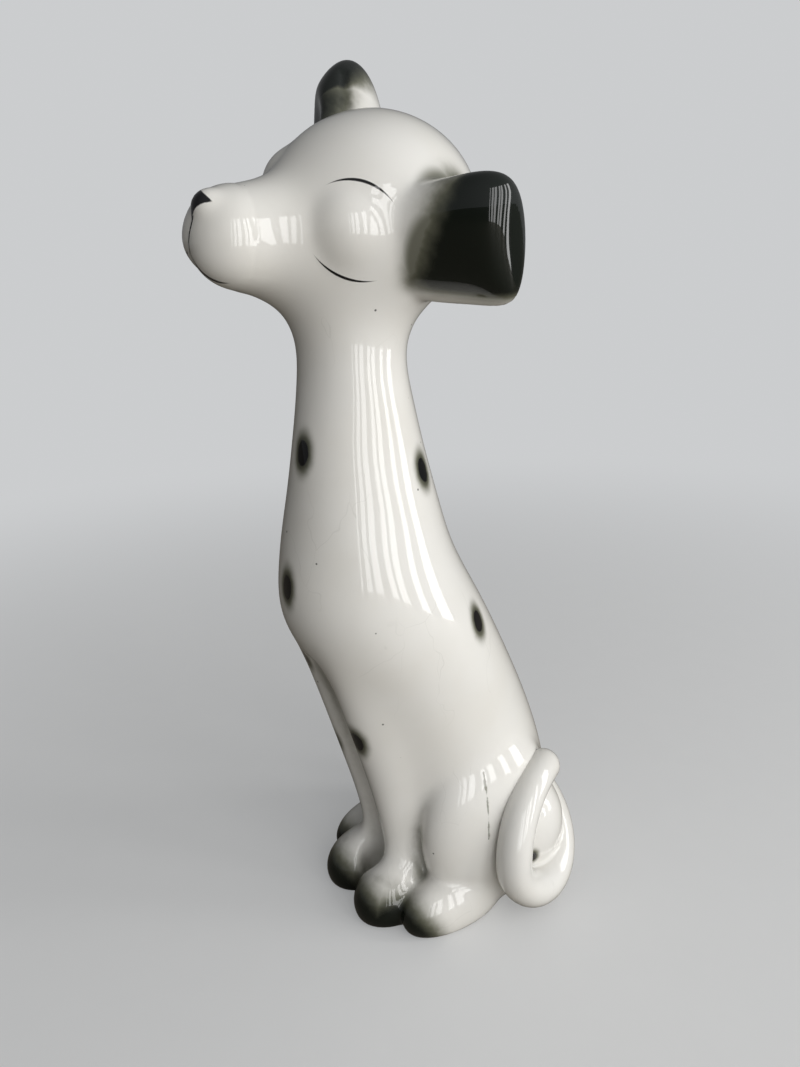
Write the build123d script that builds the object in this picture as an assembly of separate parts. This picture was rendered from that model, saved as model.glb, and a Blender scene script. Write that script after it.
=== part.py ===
from build123d import *
import os
from math import cos, sin, radians

# A seated, long-necked dog in glazed earthenware. It faces -Y, its left side is +X
# and it stands on z = 0. All sizes are in millimetres.

# Casting: wall, floor, vent hole under the seat, and the slip that lutes the loose pieces on
WALL = 5.0
FLOOR = 6.0
VENT_DIAMETER = 14.0
VENT_BACK = 22.0
SLIP = 1.0
SLIP_SPREAD = 1.2

# Trunk rings from the seat up: rise above the ring below, setback of the centre, width, depth
SEAT_BACK = 23.0
SEAT_WIDTH = 60.0
SEAT_DEPTH = 61.0
HIP_RISE = 28.0
HIP_BACK = 20.5
HIP_WIDTH = 62.0
HIP_DEPTH = 68.0
WAIST_RISE = 49.0
WAIST_BACK = 6.0
WAIST_WIDTH = 61.0
WAIST_DEPTH = 73.0
CHEST_RISE = 45.0
CHEST_BACK = -14.8
CHEST_WIDTH = 61.0
CHEST_DEPTH = 72.6
SHOULDER_RISE = 22.0
SHOULDER_BACK = -20.5
SHOULDER_WIDTH = 54.0
SHOULDER_DEPTH = 61.6
NECK_ROOT_RISE = 34.0
NECK_ROOT_BACK = -22.0
NECK_ROOT_WIDTH = 41.0
NECK_ROOT_DEPTH = 45.5
NECK_RISE = 34.0
NECK_BACK = -22.5
NECK_WIDTH = 35.0
NECK_DEPTH = 35.5
THROAT_RISE = 24.0
THROAT_BACK = -19.0
THROAT_WIDTH = 44.0
THROAT_DEPTH = 46.0

# Head, in its own frame: it is cocked towards its left shoulder
HEAD_RISE = 16.0
HEAD_BACK = -12.0
HEAD_LENGTH = 66.0
HEAD_WIDTH = 62.0
HEAD_HEIGHT = 57.0
HEAD_ROLL_ANGLE = 26.0
HEAD_NOD_ANGLE = 5.0
HEAD_TURN_ANGLE = 2.0
MUZZLE_REACH = 47.0
MUZZLE_ROOT_REACH = 14.0
MUZZLE_ROOT_DROP = 8.0
MUZZLE_ROOT_DIAMETER = 44.0
MUZZLE_TIP_DROP = 2.0
MUZZLE_TIP_DIAMETER = 26.4
JOWL_SPACING = 8.0
JOWL_DROP = 5.5
JOWL_WIDTH = 19.0
JOWL_LENGTH = 24.0
EYE_DIAMETER = 24.8
EYE_SPACING = 28.6
EYE_REACH = 18.0
EYE_RISE = 3.0

# Ears: stations run outwards from the head's middle line
EAR_ROOT_SPACING = 38.0
EAR_ROOT_REACH = 1.9
EAR_ROOT_RISE = 1.1
EAR_ROOT_HEIGHT = 33.0
EAR_ROOT_THICKNESS = 30.5
EAR_LENGTH = 31.5
EAR_SWEEP = 16.1
EAR_LIFT = 11.3
EAR_FLAP_SHARE = 0.5
EAR_FLAP_HEIGHT = 39.0
EAR_FLAP_THICKNESS = 27.5
EAR_SHOULDER_SHARE = 0.8
EAR_SHOULDER_HEIGHT = 38.0
EAR_SHOULDER_THICKNESS = 21.5
EAR_ROUND_SHARE = 0.94
EAR_ROUND_HEIGHT = 31.5
EAR_ROUND_THICKNESS = 13.5
EAR_TIP_HEIGHT = 18.0
EAR_TIP_THICKNESS = 6.5

# Forelegs and paws
LEG_TOP_SPACING = 22.0
LEG_TOP_DROP = 4.0
LEG_TOP_INSET = 27.1
LEG_TOP_WIDTH = 24.0
LEG_TOP_DEPTH = 42.0
KNEE_SPACING = 18.4
KNEE_HEIGHT = 60.0
KNEE_BACK = 7.0
KNEE_WIDTH = 19.0
KNEE_DEPTH = 28.0
ANKLE_SPACING = 16.0
ANKLE_HEIGHT = 12.0
ANKLE_BACK = 9.5
ANKLE_WIDTH = 14.2
ANKLE_DEPTH = 16.6
PAW_SPACING = 23.0
PAW_REACH = 23.0
PAW_WIDTH = 24.0
PAW_LENGTH = 31.0
PAW_CENTRE_HEIGHT = 6.0
PAW_TOP_HEIGHT = 19.0
FOOT_SPACING = 54.0
FOOT_REACH = 5.0
FOOT_WIDTH = 21.0
FOOT_LENGTH = 44.0
FOOT_TOP_HEIGHT = 19.0

# Haunches
HAUNCH_SPACING = 47.0
HAUNCH_BACK = 14.5
HAUNCH_CENTRE_HEIGHT = 32.0
HAUNCH_THICKNESS = 29.0
HAUNCH_LENGTH = 59.0
HAUNCH_HEIGHT = 74.0

# Tail: a loop beside the left haunch, from the root behind the rump to a rising tip.
# Shares are parts of its length, along which the root and the tip tuck in to the body.
TAIL_LOOP_BACK = 27.5
TAIL_LOOP_RADIUS = 17.6
TAIL_TIP_STRETCH = 11.0
TAIL_ROOT_ANGLE = 35.0
TAIL_TIP_ANGLE = -294.0
TAIL_ROOT_DIAMETER = 14.0
TAIL_DIAMETER = 13.4
TAIL_TIP_DIAMETER = 9.6
TAIL_ROOT_SHARE = 0.5
TAIL_ROOT_TUCK = 38.0
TAIL_TIP_SHARE = 0.35
TAIL_TIP_TUCK = 15.0
TAIL_STANDOFF = 0.5
TAIL_FLOOR_GAP = 3.2
TAIL_KNOTS = 24
TAIL_NUDGE = 0.02

# Slip that lutes the tail: a collar at the root and a pad on the haunch
COLLAR_SHARE = 0.16
PAD_SHARE = 0.64
PAD_WIDTH = 7.0
PAD_HEIGHT = 20.0

# Heights that follow from the rises
hip_height = HIP_RISE
waist_height = hip_height + WAIST_RISE
chest_height = waist_height + CHEST_RISE
shoulder_height = chest_height + SHOULDER_RISE
neck_root_height = shoulder_height + NECK_ROOT_RISE
neck_height = neck_root_height + NECK_RISE
throat_height = neck_height + THROAT_RISE
head_height = throat_height + HEAD_RISE
tail_loop_height = TAIL_FLOOR_GAP + TAIL_DIAMETER / 2 + TAIL_LOOP_RADIUS

TRUNK_RINGS = [
    (0.0, SEAT_BACK, SEAT_WIDTH, SEAT_DEPTH),
    (hip_height, HIP_BACK, HIP_WIDTH, HIP_DEPTH),
    (waist_height, WAIST_BACK, WAIST_WIDTH, WAIST_DEPTH),
    (chest_height, CHEST_BACK, CHEST_WIDTH, CHEST_DEPTH),
    (shoulder_height, SHOULDER_BACK, SHOULDER_WIDTH, SHOULDER_DEPTH),
    (neck_root_height, NECK_ROOT_BACK, NECK_ROOT_WIDTH, NECK_ROOT_DEPTH),
    (neck_height, NECK_BACK, NECK_WIDTH, NECK_DEPTH),
    (throat_height, THROAT_BACK, THROAT_WIDTH, THROAT_DEPTH),
]

# The head's frame: turned about Z, nodded about X, then cocked about its own Y
head_frame = (
    Location((0, HEAD_BACK, head_height))
    * Location((0, 0, 0), (0, 0, 1), HEAD_TURN_ANGLE)
    * Location((0, 0, 0), (1, 0, 0), HEAD_NOD_ANGLE)
    * Location((0, 0, 0), (0, 1, 0), HEAD_ROLL_ANGLE)
)


def ellipsoid(width, length, height, grow=0.0):
    half = (width / 2 + grow, length / 2 + grow, height / 2 + grow)
    return scale(Sphere(1), by=half)


def trunk(grow=0.0, bottom=0.0):
    rings = []
    for height, back, width, depth in TRUNK_RINGS:
        ring = Ellipse(width / 2 + grow, depth / 2 + grow)
        rings.append(Pos(0, back, max(height, bottom)) * ring)
    return loft(rings)


def cranium(grow=0.0):
    return head_frame * ellipsoid(HEAD_WIDTH, HEAD_LENGTH, HEAD_HEIGHT, grow)


def muzzle(grow=0.0):
    root = Plane((0, -MUZZLE_ROOT_REACH, -MUZZLE_ROOT_DROP), z_dir=(0, -1, 0))
    tip = Plane((0, -MUZZLE_REACH, -MUZZLE_TIP_DROP), z_dir=(0, -1, 0))
    root_ring = root * Circle(MUZZLE_ROOT_DIAMETER / 2 + grow)
    tip_ring = tip * Circle(MUZZLE_TIP_DIAMETER / 2 + grow)
    nose_end = tip.location * Sphere(MUZZLE_TIP_DIAMETER / 2 + grow)
    return head_frame * (loft([root_ring, tip_ring]) + nose_end)


def face(side):
    jowl = ellipsoid(JOWL_WIDTH, JOWL_LENGTH, JOWL_WIDTH)
    eye = Sphere(EYE_DIAMETER / 2)
    jowl_place = Pos(side * JOWL_SPACING / 2, -MUZZLE_REACH, -JOWL_DROP)
    eye_place = Pos(side * EYE_SPACING / 2, -EYE_REACH, EYE_RISE)
    return head_frame * (jowl_place * jowl), head_frame * (eye_place * eye)


def foreleg(side):
    top_back = CHEST_BACK - CHEST_DEPTH / 2 + LEG_TOP_INSET
    ankle = Pos(side * ANKLE_SPACING / 2, ANKLE_BACK - PAW_REACH, ANKLE_HEIGHT)
    knee = Pos(side * KNEE_SPACING / 2, KNEE_BACK - PAW_REACH, KNEE_HEIGHT)
    top = Pos(side * LEG_TOP_SPACING / 2, top_back, chest_height - LEG_TOP_DROP)
    rings = [
        ankle * Ellipse(ANKLE_WIDTH / 2, ANKLE_DEPTH / 2),
        knee * Ellipse(KNEE_WIDTH / 2, KNEE_DEPTH / 2),
        top * Ellipse(LEG_TOP_WIDTH / 2, LEG_TOP_DEPTH / 2),
    ]
    return loft(rings)


def paws(side):
    front = ellipsoid(PAW_WIDTH, PAW_LENGTH, 2 * (PAW_TOP_HEIGHT - PAW_CENTRE_HEIGHT))
    hind = ellipsoid(FOOT_WIDTH, FOOT_LENGTH, 2 * (FOOT_TOP_HEIGHT - PAW_CENTRE_HEIGHT))
    return (
        Pos(side * PAW_SPACING / 2, -PAW_REACH, PAW_CENTRE_HEIGHT) * front,
        Pos(side * FOOT_SPACING / 2, -FOOT_REACH, PAW_CENTRE_HEIGHT) * hind,
    )


def haunch(side, grow=0.0):
    form = ellipsoid(HAUNCH_THICKNESS, HAUNCH_LENGTH, HAUNCH_HEIGHT, grow)
    return Pos(side * HAUNCH_SPACING / 2, HAUNCH_BACK, HAUNCH_CENTRE_HEIGHT) * form


def above_floor(shape):
    return split(shape, bisect_by=Plane.XY, keep=Keep.TOP)


def outer_form():
    pieces = [cranium(), muzzle()]
    for side in (-1, 1):
        pieces += [*face(side), foreleg(side), haunch(side), *paws(side)]
    return above_floor(trunk() + pieces)


def body_casting(outer):
    hollow = trunk(-WALL, FLOOR) + cranium(-WALL) + muzzle(-WALL)
    vent = Pos(0, VENT_BACK, FLOOR / 2) * Cylinder(VENT_DIAMETER / 2, 2 * FLOOR)
    return outer - hollow - vent


def ear_form(side, grow=0.0):
    stations = [
        (0.0, EAR_ROOT_HEIGHT, EAR_ROOT_THICKNESS),
        (EAR_FLAP_SHARE, EAR_FLAP_HEIGHT, EAR_FLAP_THICKNESS),
        (EAR_SHOULDER_SHARE, EAR_SHOULDER_HEIGHT, EAR_SHOULDER_THICKNESS),
        (EAR_ROUND_SHARE, EAR_ROUND_HEIGHT, EAR_ROUND_THICKNESS),
        (1.0, EAR_TIP_HEIGHT, EAR_TIP_THICKNESS),
    ]
    sections = []
    for share, height, thickness in stations:
        centre = (
            side * (EAR_ROOT_SPACING / 2 + share * EAR_LENGTH),
            share * EAR_SWEEP - EAR_ROOT_REACH,
            EAR_ROOT_RISE + share * EAR_LIFT,
        )
        plane = Plane(centre, x_dir=(0, side, 0), z_dir=(side, 0, 0))
        sections.append(plane * Ellipse(thickness / 2 + grow, height / 2 + grow))
    return head_frame * loft(sections)


def ear_and_slip(side, outer):
    bed = cranium(SLIP)
    ear = ear_form(side) - bed - outer
    slip = (ear_form(side, SLIP_SPREAD) & bed) - outer
    return ear, slip


def tail_point(share):
    angle = radians(TAIL_ROOT_ANGLE + share * (TAIL_TIP_ANGLE - TAIL_ROOT_ANGLE))
    haunch_side = HAUNCH_SPACING / 2 + HAUNCH_THICKNESS / 2
    side_reach = haunch_side + SLIP + TAIL_STANDOFF + TAIL_DIAMETER / 2
    near_root = max(0.0, 1 - share / TAIL_ROOT_SHARE)
    near_tip = max(0.0, 1 - (1 - share) / TAIL_TIP_SHARE)
    tuck = TAIL_ROOT_TUCK * near_root ** 2 + TAIL_TIP_TUCK * near_tip ** 2
    radius = TAIL_LOOP_RADIUS + TAIL_TIP_STRETCH * near_tip ** 2
    return Vector(
        side_reach - tuck,
        TAIL_LOOP_BACK + radius * cos(angle),
        tail_loop_height + radius * sin(angle),
    )


def tail_ring(share, diameter):
    point = tail_point(share)
    along = tail_point(share + TAIL_NUDGE) - tail_point(share - TAIL_NUDGE)
    outward = point - Vector(point.X, TAIL_LOOP_BACK, tail_loop_height)
    plane = Plane(point, x_dir=along.cross(outward), z_dir=along)
    return plane * Circle(diameter / 2)


def tail_path(end=1.0):
    return Spline(*[tail_point(end * knot / TAIL_KNOTS) for knot in range(TAIL_KNOTS + 1)])


def tail_form():
    rings = [
        tail_ring(0.0, TAIL_ROOT_DIAMETER),
        tail_ring(TAIL_ROOT_SHARE, TAIL_DIAMETER),
        tail_ring(1.0, TAIL_TIP_DIAMETER),
    ]
    tip = Pos(*tail_point(1.0)) * Sphere(TAIL_TIP_DIAMETER / 2)
    return sweep(rings, path=tail_path(), multisection=True) + tip


def rump(grow=0.0):
    return trunk(grow) + haunch(1, grow)


def tail_and_slips(outer):
    bed = rump(SLIP)
    tail = tail_form() - bed
    collar = sweep(tail_ring(0.0, TAIL_ROOT_DIAMETER + 2 * SLIP_SPREAD), path=tail_path(COLLAR_SHARE))
    middle = tail_point(PAD_SHARE)
    pad_plane = Plane((HAUNCH_SPACING / 2, middle.Y, middle.Z), x_dir=(0, 1, 0), z_dir=(1, 0, 0))
    pad = extrude(pad_plane * Ellipse(PAD_WIDTH / 2, PAD_HEIGHT / 2), middle.X - HAUNCH_SPACING / 2)
    return tail, (collar & bed) - outer - tail, pad - outer - tail


os.makedirs("parts", exist_ok=True)
outer = outer_form()
left_ear, left_ear_slip = ear_and_slip(1, outer)
right_ear, right_ear_slip = ear_and_slip(-1, outer)
tail, tail_root_slip, tail_haunch_slip = tail_and_slips(outer)

nodes = {
    "body_casting": body_casting(outer),
    "left_ear": left_ear,
    "right_ear": right_ear,
    "tail": tail,
    "left_ear_slip": left_ear_slip,
    "right_ear_slip": right_ear_slip,
    "tail_root_slip": tail_root_slip,
    "tail_haunch_slip": tail_haunch_slip,
}
for name, shape in nodes.items():
    solids = shape.solids()
    print(name, len(solids), "solid", round(shape.volume), "mm3")
    export_step(shape, f"parts/{name}.step")
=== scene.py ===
from math import cos, sin, radians, pi
import bpy
import numpy as np
from mathutils import Matrix, Vector


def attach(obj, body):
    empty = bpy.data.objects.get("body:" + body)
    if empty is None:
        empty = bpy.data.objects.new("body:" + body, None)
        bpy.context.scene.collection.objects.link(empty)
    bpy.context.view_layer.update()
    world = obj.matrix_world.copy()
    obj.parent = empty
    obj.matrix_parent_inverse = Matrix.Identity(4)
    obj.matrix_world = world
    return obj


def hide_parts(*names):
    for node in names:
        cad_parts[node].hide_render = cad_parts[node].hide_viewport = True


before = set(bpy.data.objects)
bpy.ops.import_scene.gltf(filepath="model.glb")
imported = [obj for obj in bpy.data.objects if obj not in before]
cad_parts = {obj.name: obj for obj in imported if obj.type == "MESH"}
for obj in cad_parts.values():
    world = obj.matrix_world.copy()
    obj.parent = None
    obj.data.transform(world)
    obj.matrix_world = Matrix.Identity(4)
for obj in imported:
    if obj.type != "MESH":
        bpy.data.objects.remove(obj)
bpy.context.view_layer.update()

mm = 0.001  # the forms below are worked out in millimetres and meshed in metres


# smooth joins of two forms; the cubic keeps reflections running evenly over the join
def softMin(a, b, reach):
    h = np.maximum(reach - np.abs(a - b), 0.0) / reach
    return np.minimum(a, b) - h * h * h * reach / 6


def softMax(a, b, reach):
    return -softMin(-a, -b, reach)


def oval(u, v, halfU, halfV):
    k = np.sqrt((u / halfU) ** 2 + (v / halfV) ** 2)
    slope = np.sqrt((u / halfU ** 2) ** 2 + (v / halfV ** 2) ** 2)
    return np.where(k > 0.001, k * (k - 1) / np.maximum(slope, 1e-5), -np.minimum(halfU, halfV))


def blob(p, centre, radii):
    q = (p - np.asarray(centre)) / np.asarray(radii)
    k = np.linalg.norm(q, axis=1)
    slope = np.linalg.norm(q / np.asarray(radii), axis=1)
    return k * (k - 1) / np.maximum(slope, 1e-6)


def taper(p, start, end, startRadius, endRadius):
    start, end = np.asarray(start, float), np.asarray(end, float)
    along = end - start
    h = np.clip((p - start) @ along / (along @ along), 0, 1)
    off = np.linalg.norm(p - start - h[:, None] * along, axis=1)
    return off - startRadius - (endRadius - startRadius) * h


def naturalSpline(knots, values):
    count, gap = len(knots), np.diff(knots)
    matrix, right = np.eye(count), np.zeros(count)
    for i in range(1, count - 1):
        matrix[i, i - 1:i + 2] = gap[i - 1], 2 * (gap[i - 1] + gap[i]), gap[i]
        right[i] = 6 * ((values[i + 1] - values[i]) / gap[i] - (values[i] - values[i - 1]) / gap[i - 1])
    bend = np.linalg.solve(matrix, right)

    def at(x):
        x = np.clip(x, knots[0], knots[-1])
        i = np.clip(np.searchsorted(knots, x) - 1, 0, count - 2)
        b = (x - knots[i]) / gap[i]
        a = 1 - b
        curve = (a ** 3 - a) * bend[i] + (b ** 3 - b) * bend[i + 1]
        return a * values[i] + b * values[i + 1] + curve * gap[i] ** 2 / 6
    return at


# one smooth curve for each later column of a table of stations, read over its first column
def stationCurves(stations):
    table = np.array(stations, float)
    return [naturalSpline(table[:, 0], table[:, i]) for i in range(1, table.shape[1])]


# both sides of the middle plane as one
def foldSides(p, axis):
    side = p.copy()
    side[:, axis] = np.abs(side[:, axis])
    return side


# trunk and neck
trunkForm = {
    "stations": [  # height, setback of the centre, half width, half depth
        (-10, 23, 29.6, 30.2), (0, 23, 30, 30.5), (25, 21, 31, 33.5), (52, 15, 31, 36),
        (77, 6, 30.5, 36.5), (100, -4, 31, 36.3), (122, -14.8, 30.5, 36.3), (144, -20.5, 27, 30.8),
        (160, -21.4, 24, 26.8), (178, -22, 20.5, 22.8), (195, -22.5, 18.4, 19.4),
        (212, -22.5, 17.4, 17.6), (235, -19.8, 19.5, 21.8), (245, -19, 20.5, 23)],
    "topHeight": 240, "topRound": 9, "footRound": 2.2,
    "ventBack": 22, "ventRadius": 7, "ventDepth": 12, "ventRound": 1.5,
}
trunkBack, trunkHalfWidth, trunkHalfDepth = stationCurves(trunkForm["stations"])


def trunkField(p):
    z = p[:, 2]
    d = oval(p[:, 0], p[:, 1] - trunkBack(z), trunkHalfWidth(z), trunkHalfDepth(z))
    return softMax(d, z - trunkForm["topHeight"], trunkForm["topRound"])


# forelegs, paws and haunches are the same on both sides, so they read the distance from the middle plane
legForm = {
    "stations": [  # height, distance from the middle, setback, half width, half depth
        (8, 8, -13.5, 7, 8), (30, 8, -14, 7.6, 9.5), (60, 9.2, -16, 9.5, 14),
        (90, 10.5, -19.5, 11, 18.5), (118, 11, -24, 12, 21)],
    "topHeight": 120, "topRound": 20, "blend": 9,
    "grooveTop": (0, -46, 104), "grooveFoot": (0, -22, 10), "grooveRadii": (3.5, 6), "grooveRound": 6,
}
pawForm = {
    "frontCentre": (11.5, -23, 6), "frontRadii": (12, 15.5, 13),
    "hindCentre": (27, -5, 6), "hindRadii": (10.5, 22, 13), "legBlend": 15, "blend": 4,
}
haunchForm = {"centre": (23.5, 14.5, 32), "radii": (14.5, 29.5, 37), "blend": 6}
legOut, legBack, legHalfWidth, legHalfDepth = stationCurves(legForm["stations"])


def legField(side):
    z = side[:, 2]
    d = oval(side[:, 0] - legOut(z), side[:, 1] - legBack(z), legHalfWidth(z), legHalfDepth(z))
    return softMax(d, z - legForm["topHeight"], legForm["topRound"])


# head: its own axes are forward, left and up, cocked towards the left shoulder
headForm = {
    "centre": (0, -12, 252.3), "roll": 26, "nod": 5, "turn": 2,
    "skullRadii": (33, 31, 28.5),
    "muzzleRoot": (14, 0, -8), "muzzleTip": (47, 0, -2), "muzzleRadii": (22, 13.2), "muzzleBlend": 13,
    "jowlCentre": (47.5, 4, -5.5), "jowlRadii": (12, 9.5, 9.5), "jowlBlend": 7,
    "jawRoot": (16, 0, -17), "jawTip": (43, 0, -9.5), "jawRadii": (12, 9), "jawBlend": 9,
    "eyeCentre": (18, 14.3, 3), "eyeRadii": (12.4, 12.4, 12.4), "eyeBlend": 3,
    "noseCentre": (54.2, 0, 6.4), "noseRadii": (4.8, 4.2, 4.2), "noseBlend": 4,
    "neckBlend": 20,
}


def headAxes(roll):
    turn, nod, roll = (radians(a) for a in (headForm["turn"], headForm["nod"], roll))
    forward = np.array([sin(turn) * cos(nod), -cos(turn) * cos(nod), -sin(nod)])
    left = np.array([cos(turn), sin(turn), 0.0])
    up = np.cross(forward, left)
    return np.stack([forward, left * cos(roll) - up * sin(roll), left * sin(roll) + up * cos(roll)], 1)


def headLocal(p, roll=headForm["roll"]):
    return (p - np.array(headForm["centre"])) @ headAxes(roll)


def headField(p):
    form, q = headForm, headLocal(p)
    side = foldSides(q, 1)
    d = blob(q, (0, 0, 0), form["skullRadii"])
    for part in ("muzzle", "jaw"):
        stem = taper(q, form[part + "Root"], form[part + "Tip"], *form[part + "Radii"])
        d = softMin(d, stem, form[part + "Blend"])
    for part, at in (("jowl", side), ("nose", q), ("eye", side)):
        d = softMin(d, blob(at, form[part + "Centre"], form[part + "Radii"]), form[part + "Blend"])
    return d


def bodyField(p):
    side = foldSides(p, 0)
    paw = blob(side, pawForm["frontCentre"], pawForm["frontRadii"])
    d = softMin(trunkField(p), softMin(legField(side), paw, pawForm["legBlend"]), legForm["blend"])
    groove = taper(p, legForm["grooveTop"], legForm["grooveFoot"], *legForm["grooveRadii"])
    d = softMax(d, -groove, legForm["grooveRound"])
    d = softMin(d, blob(side, haunchForm["centre"], haunchForm["radii"]), haunchForm["blend"])
    d = softMin(d, blob(side, pawForm["hindCentre"], pawForm["hindRadii"]), pawForm["blend"])
    d = softMin(d, headField(p), headForm["neckBlend"])
    d = softMax(d, -p[:, 2], trunkForm["footRound"])
    bore = np.hypot(p[:, 0], p[:, 1] - trunkForm["ventBack"]) - trunkForm["ventRadius"]
    vent = np.maximum(bore, p[:, 2] - trunkForm["ventDepth"])
    return softMax(d, -vent, trunkForm["ventRound"])


# ears: paddles that run outwards from the head to a thick rounded end; 1 is the left ear, -1 the right
earForm = {
    "roll": 28, "length": {1: 51, -1: 49.5}, "thicken": {1: 1.0, -1: 1.2},
    "stations": [  # distance out, forward, up, half thickness, half height
        (16, 3.5, 0.5, 15.5, 16), (26, -2, 2.8, 15.5, 18), (37, -8, 7.5, 13.4, 19.7),
        (46, -12.5, 11, 11.2, 19.8), (58, -16.5, 14.5, 9, 19.4)],
    "core": 7, "coreRound": 3.5, "rootCut": 19, "rootRound": 2,
    "tipRound": 15, "tipLean": {1: 20, -1: 0}, "tipTurn": {1: 18, -1: 0}, "tipCentre": (-13, 10),
    "dishCentre": (12.5, 46, 7), "dishRadii": (14, 27, 23), "dishTilt": 53, "dishRound": 5,
    "foldRoot": (-0.5, 22, 19), "foldTip": (-7, 38, 28), "foldRadii": (2.2, 1.2), "foldRound": 2.5,
    "blend": 3, "slipBand": 1.6,
}
earForward, earUp, earHalfThick, earHalfHeight = stationCurves(earForm["stations"])


def earField(p, side):
    q = headLocal(p, earForm["roll"])
    q[:, 1] *= side
    out = q[:, 1]
    thick = earHalfThick(out) * earForm["thicken"][side]
    d = oval(q[:, 0] - earForward(out), q[:, 2] - earUp(out), thick, earHalfHeight(out))
    d = softMax(d, -earForm["core"], earForm["coreRound"])  # even inside, so the rounded end has no crease
    lean, turn = radians(earForm["tipLean"][side]), radians(earForm["tipTurn"][side])
    tip = (out - earForm["length"][side]) * cos(lean) + (q[:, 2] - earForm["tipCentre"][1]) * sin(lean)
    tip = tip * cos(turn) - (q[:, 0] - earForm["tipCentre"][0]) * sin(turn)
    d = softMax(d, tip, earForm["tipRound"])
    d = softMax(d, earForm["rootCut"] - out, earForm["rootRound"])
    if side < 0:  # the right ear is hollowed in front and folded along its upper edge
        tilt = radians(earForm["dishTilt"])
        inDish = q - np.array(earForm["dishCentre"])
        inDish = np.stack([inDish[:, 0], inDish[:, 1] * cos(tilt) + inDish[:, 2] * sin(tilt),
                           inDish[:, 2] * cos(tilt) - inDish[:, 1] * sin(tilt)], 1)
        d = softMax(d, -blob(inDish, (0, 0, 0), earForm["dishRadii"]), earForm["dishRound"])
        fold = taper(q, earForm["foldRoot"], earForm["foldTip"], *earForm["foldRadii"])
        d = softMax(d, -fold, earForm["foldRound"])
    return d


# the casting was smoothed by hand, so its skin waves a little
handWave = {"depth": 0.10, "lengths": (31, 23, 37), "leans": (0.6, 1.9, 3.1), "rise": 0.7}


def figureField(p):
    d = bodyField(p)
    for side in (1, -1):
        d = softMin(d, earField(p, side), earForm["blend"])
    wave = sum(np.sin(2 * pi * (p @ np.array([cos(lean), sin(lean), handWave["rise"]])) / length + 3 * lean)
               for length, lean in zip(handWave["lengths"], handWave["leans"]))
    return d + handWave["depth"] * wave / 3


# meshing: a coarse pass finds the skin, a fine one meshes it, and corners are drawn on to the true surface
meshing = {
    "cell": 1.3, "stride": 4, "chunk": 200000, "rounds": 4, "ease": 0.5, "step": 0.15, "flattest": 0.05,
}


def evaluate(field, points):
    parts = [field(points[i:i + meshing["chunk"]]) for i in range(0, len(points), meshing["chunk"])]
    return np.concatenate(parts)


def sampleSkin(field, low, high):
    cell, stride = meshing["cell"], meshing["stride"]
    low = np.asarray(low, float)
    steps = np.ceil((np.asarray(high) - low) / (cell * stride)).astype(int) * stride
    marks = [low[i] + cell * np.arange(0, steps[i] + 1, stride) for i in range(3)]
    coarse = np.stack(np.meshgrid(*marks, indexing="ij"), -1)
    rough = evaluate(field, coarse.reshape(-1, 3)).reshape(coarse.shape[:3])
    pick = [(np.arange(n + 1) + stride // 2) // stride for n in steps]
    value = rough[np.ix_(*pick)]
    near = np.abs(value) < 2 * stride * cell
    value[near] = evaluate(field, low + cell * np.argwhere(near))
    return value


# one corner in each cell that the skin crosses, one face across each crossed edge of the grid
def skinQuads(value, low):
    inside, size = value < 0, np.array(value.shape)
    corners = [(i, j, k) for i in (0, 1) for j in (0, 1) for k in (0, 1)]
    full = sum(inside[tuple(slice(c[a], size[a] - 1 + c[a]) for a in range(3))].astype(int) for c in corners)
    active = (full > 0) & (full < 8)
    cells = np.argwhere(active)
    number = -np.ones(active.shape, int)
    number[active] = np.arange(len(cells))
    total, hits = np.zeros((len(cells), 3)), np.zeros(len(cells))
    for corner in corners:
        for a in range(3):
            if corner[a]:
                continue
            other = list(corner)
            other[a] = 1
            v0 = value[tuple((cells + corner).T)]
            v1 = value[tuple((cells + other).T)]
            crossed = (v0 < 0) != (v1 < 0)
            share = np.where(crossed, v0 / np.where(v0 == v1, 1, v0 - v1), 0)
            total += crossed[:, None] * (np.array(corner, float) + share[:, None] * np.eye(3)[a])
            hits += crossed
    points = np.asarray(low, float) + meshing["cell"] * (cells + total / hits[:, None])
    quads = []
    for a in range(3):
        b, c = (a + 1) % 3, (a + 2) % 3
        front = np.moveaxis(inside, a, 0)
        edges = np.argwhere(np.moveaxis(front[:-1] != front[1:], 0, a))
        across = edges[:, [b, c]]
        edges = edges[((across > 0) & (across < size[[b, c]] - 1)).all(1)]
        ring = []
        for stepB, stepC in ((1, 1), (0, 1), (0, 0), (1, 0)):
            at = edges.copy()
            at[:, b] -= stepB
            at[:, c] -= stepC
            ring.append(number[tuple(at.T)])
        ring = np.stack(ring, 1)
        leaving = inside[tuple(edges.T)]
        quads.append(np.where(leaving[:, None], ring, ring[:, ::-1]))
    return points, np.vstack(quads)


def slopeOf(field, points):
    step = meshing["step"]
    rise = [evaluate(field, points + step * axis) - evaluate(field, points - step * axis)
            for axis in np.eye(3)]
    return np.stack(rise, 1) / (2 * step)


def drawOn(field, points):
    value, slope = evaluate(field, points), slopeOf(field, points)
    move = value / np.maximum((slope ** 2).sum(1), meshing["flattest"])
    return points - np.clip(move, -meshing["cell"], meshing["cell"])[:, None] * slope


def meshField(field, low, high):
    points, quads = skinQuads(sampleSkin(field, low, high), low)
    links = np.vstack([quads[:, [i, (i + 1) % 4]] for i in range(4)])
    for turn in range(meshing["rounds"]):
        total, hits = np.zeros_like(points), np.zeros(len(points))
        np.add.at(total, links[:, 0], points[links[:, 1]])
        np.add.at(hits, links[:, 0], 1)
        points = drawOn(field, (1 - meshing["ease"]) * points + meshing["ease"] * total / hits[:, None])
    points = drawOn(field, points)
    slope = slopeOf(field, points)
    return points, quads, slope / np.linalg.norm(slope, axis=1, keepdims=True)


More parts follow.
